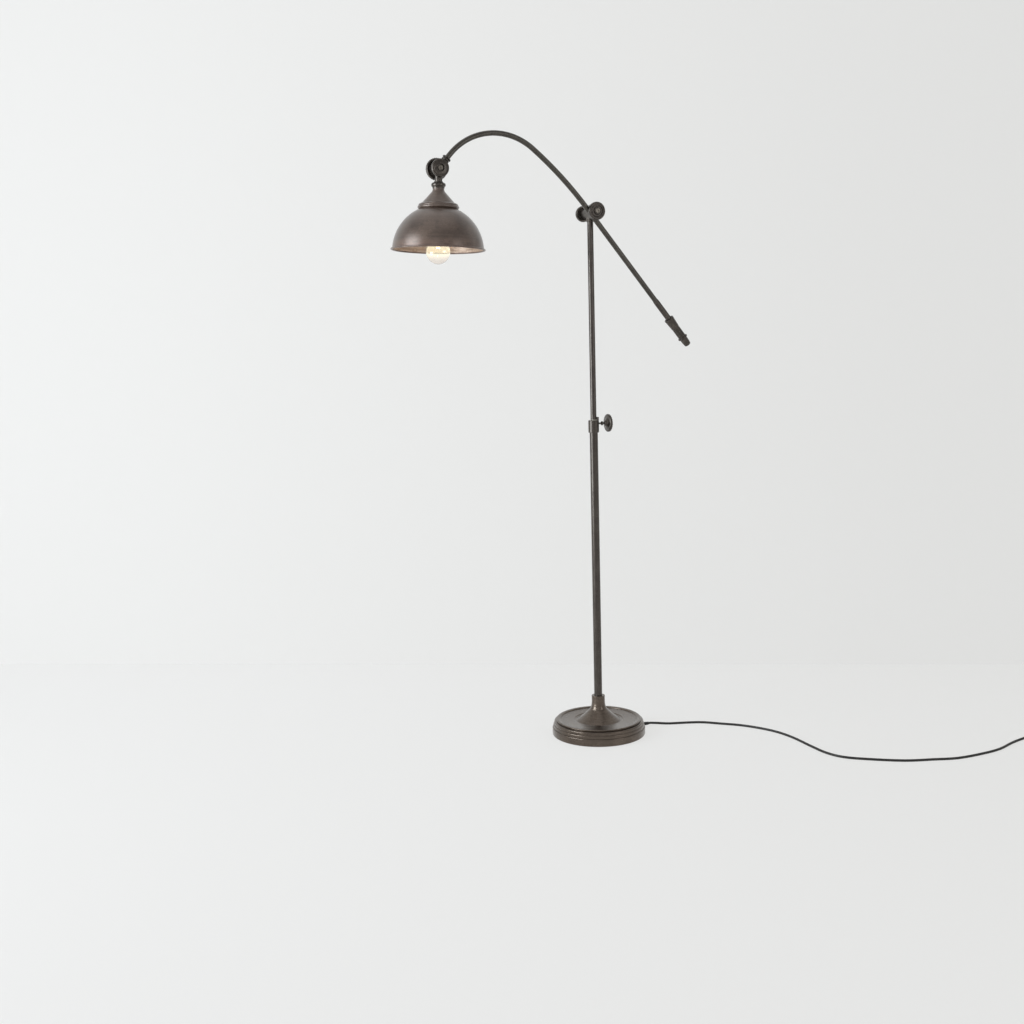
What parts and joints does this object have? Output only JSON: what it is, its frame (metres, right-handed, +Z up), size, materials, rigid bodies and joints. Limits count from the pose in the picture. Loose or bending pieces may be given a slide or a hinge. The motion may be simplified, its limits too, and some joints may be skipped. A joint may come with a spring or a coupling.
{
  "type": "bridge floor lamp",
  "caption": "Floor lamp with a weighted stepped round base, a telescopic pole, a tilting crook arm with a tail handle and a domed shade on a friction swivel.",
  "frame": {"origin": "on the floor under the axis of the pole, at the centre of the base", "axes": "+Z up along the pole; the shade hangs towards -X; the clutch bolts lie along Y with the arm in front of the pole, towards -Y; the thumb screw and the mains lead leave towards +X"},
  "size_m": [1.7024, 0.7529, 1.5967],
  "materials": {
    "aged_bronze": "aged bronze finish, satin",
    "dark_bronze": "dark bronze finish, satin, edges rubbed lighter",
    "shade_bronze": "weathered bronze finish with a soft sheen",
    "cast_iron": "rough casting",
    "felt": "black felt",
    "plain_steel": "zinc plated",
    "dark_steel": "blackened steel",
    "black_rubber": "moulded",
    "lead_sheath": "smooth sheath",
    "mains_cord": "smooth dark sheath",
    "white_tie": "flat strap",
    "plug_plastic": "moulded",
    "plated_brass": "nickel plated",
    "nylon": "moulded nylon",
    "fibre": "vulcanised fibre",
    "holder_brass": "drawn brass",
    "porcelain": "white porcelain",
    "key_plastic": "moulded",
    "bulb_glass": "clear glass, lit",
    "bulb_stem": "glass stem with lit filament"
  },
  "bodies": {
    "stand": {"base_cover": "aged_bronze", "base_weight": "cast_iron", "base_felt": "felt", "base_washer": "plain_steel", "base_nut": "plain_steel", "base_nipple": "plain_steel", "stem_socket": "aged_bronze", "strain_relief": "black_rubber", "lower_pole": "aged_bronze", "height_collar": "aged_bronze", "collar_bush": "nylon", "base_lead": "lead_sheath", "cord_run": "mains_cord", "cord_coil": "mains_cord", "coil_tie": "white_tie", "plug_body": "plug_plastic", "plug_blades": "plated_brass"},
    "thumb_knob": {"thumb_screw": "dark_steel", "thumb_knob": "dark_bronze"},
    "guide": {"guide_bush": "nylon"},
    "mast": {"upper_pole": "aged_bronze", "guide_ring": "plain_steel", "pole_head": "dark_bronze", "pole_washer": "fibre", "pole_spring_washer": "plain_steel", "pole_lead": "lead_sheath"},
    "pole_nut": {"pole_nut": "dark_bronze"},
    "arm": {"arm_hub": "dark_bronze", "arm_dish": "dark_bronze", "arm_bolt": "dark_steel", "arm_tube": "dark_bronze", "tail_cup": "dark_bronze", "tail_grip": "dark_bronze", "tail_ring": "dark_bronze", "tail_cap": "dark_bronze", "arm_ferrule": "dark_bronze", "arm_knuckle": "dark_bronze", "arm_lead": "lead_sheath", "swivel_spring_washer": "plain_steel"},
    "swivel_nut": {"swivel_nut": "dark_bronze"},
    "shade": {"swivel_washer": "fibre", "shade_knuckle": "dark_bronze", "swivel_face": "dark_bronze", "swivel_bolt": "dark_steel", "neck_bead": "dark_bronze", "shade_cone": "shade_bronze", "shade_ring": "shade_bronze", "shade_dome": "shade_bronze", "shade_nipple": "plain_steel", "shade_lead": "lead_sheath", "shade_locknut": "plain_steel", "holder_cap": "holder_brass", "holder_shell": "holder_brass", "holder_core": "porcelain", "holder_contact": "holder_brass", "bulb_glass": "bulb_glass", "bulb_cap": "plated_brass", "bulb_mount": "bulb_stem"},
    "switch_key": {"switch_key": "key_plastic"}
  },
  "joints": [
    {"name": "height_slide", "type": "slide", "parent": "stand", "child": "guide", "axis": [0, 0, 1], "range_m": [-0.28, 0.12]},
    {"name": "pole_swivel", "type": "hinge", "parent": "guide", "child": "mast", "pos_m": [0, 0, 1], "axis": [0, 0, 1], "range_deg": [-170, 170]},
    {"name": "arm_tilt", "type": "hinge", "parent": "mast", "child": "arm", "pos_m": [0, -0.026, 1.402], "axis": [0, 1, 0], "range_deg": [-30, 20]},
    {"name": "shade_tilt", "type": "hinge", "parent": "arm", "child": "shade", "pos_m": [-0.41984, -0.026, 1.50055], "axis": [0, 1, 0], "range_deg": [-60, 60]},
    {"name": "thumb_knob_turn", "type": "hinge", "parent": "stand", "child": "thumb_knob", "pos_m": [0.04, 0, 0.8516], "axis": [1, 0, 0], "range_deg": [0, 270]},
    {"name": "pole_nut_turn", "type": "hinge", "parent": "mast", "child": "pole_nut", "pos_m": [0, 0.044, 1.402], "axis": [0, 1, 0], "range_deg": [0, 270]},
    {"name": "swivel_nut_turn", "type": "hinge", "parent": "arm", "child": "swivel_nut", "pos_m": [-0.41984, -0.01, 1.50055], "axis": [0, 1, 0], "range_deg": [0, 270]},
    {"name": "switch_key_turn", "type": "hinge", "parent": "shade", "child": "switch_key", "pos_m": [-0.42487, 0, 1.37525], "axis": [0, 1, 0], "range_deg": [0, 90]}
  ]
}
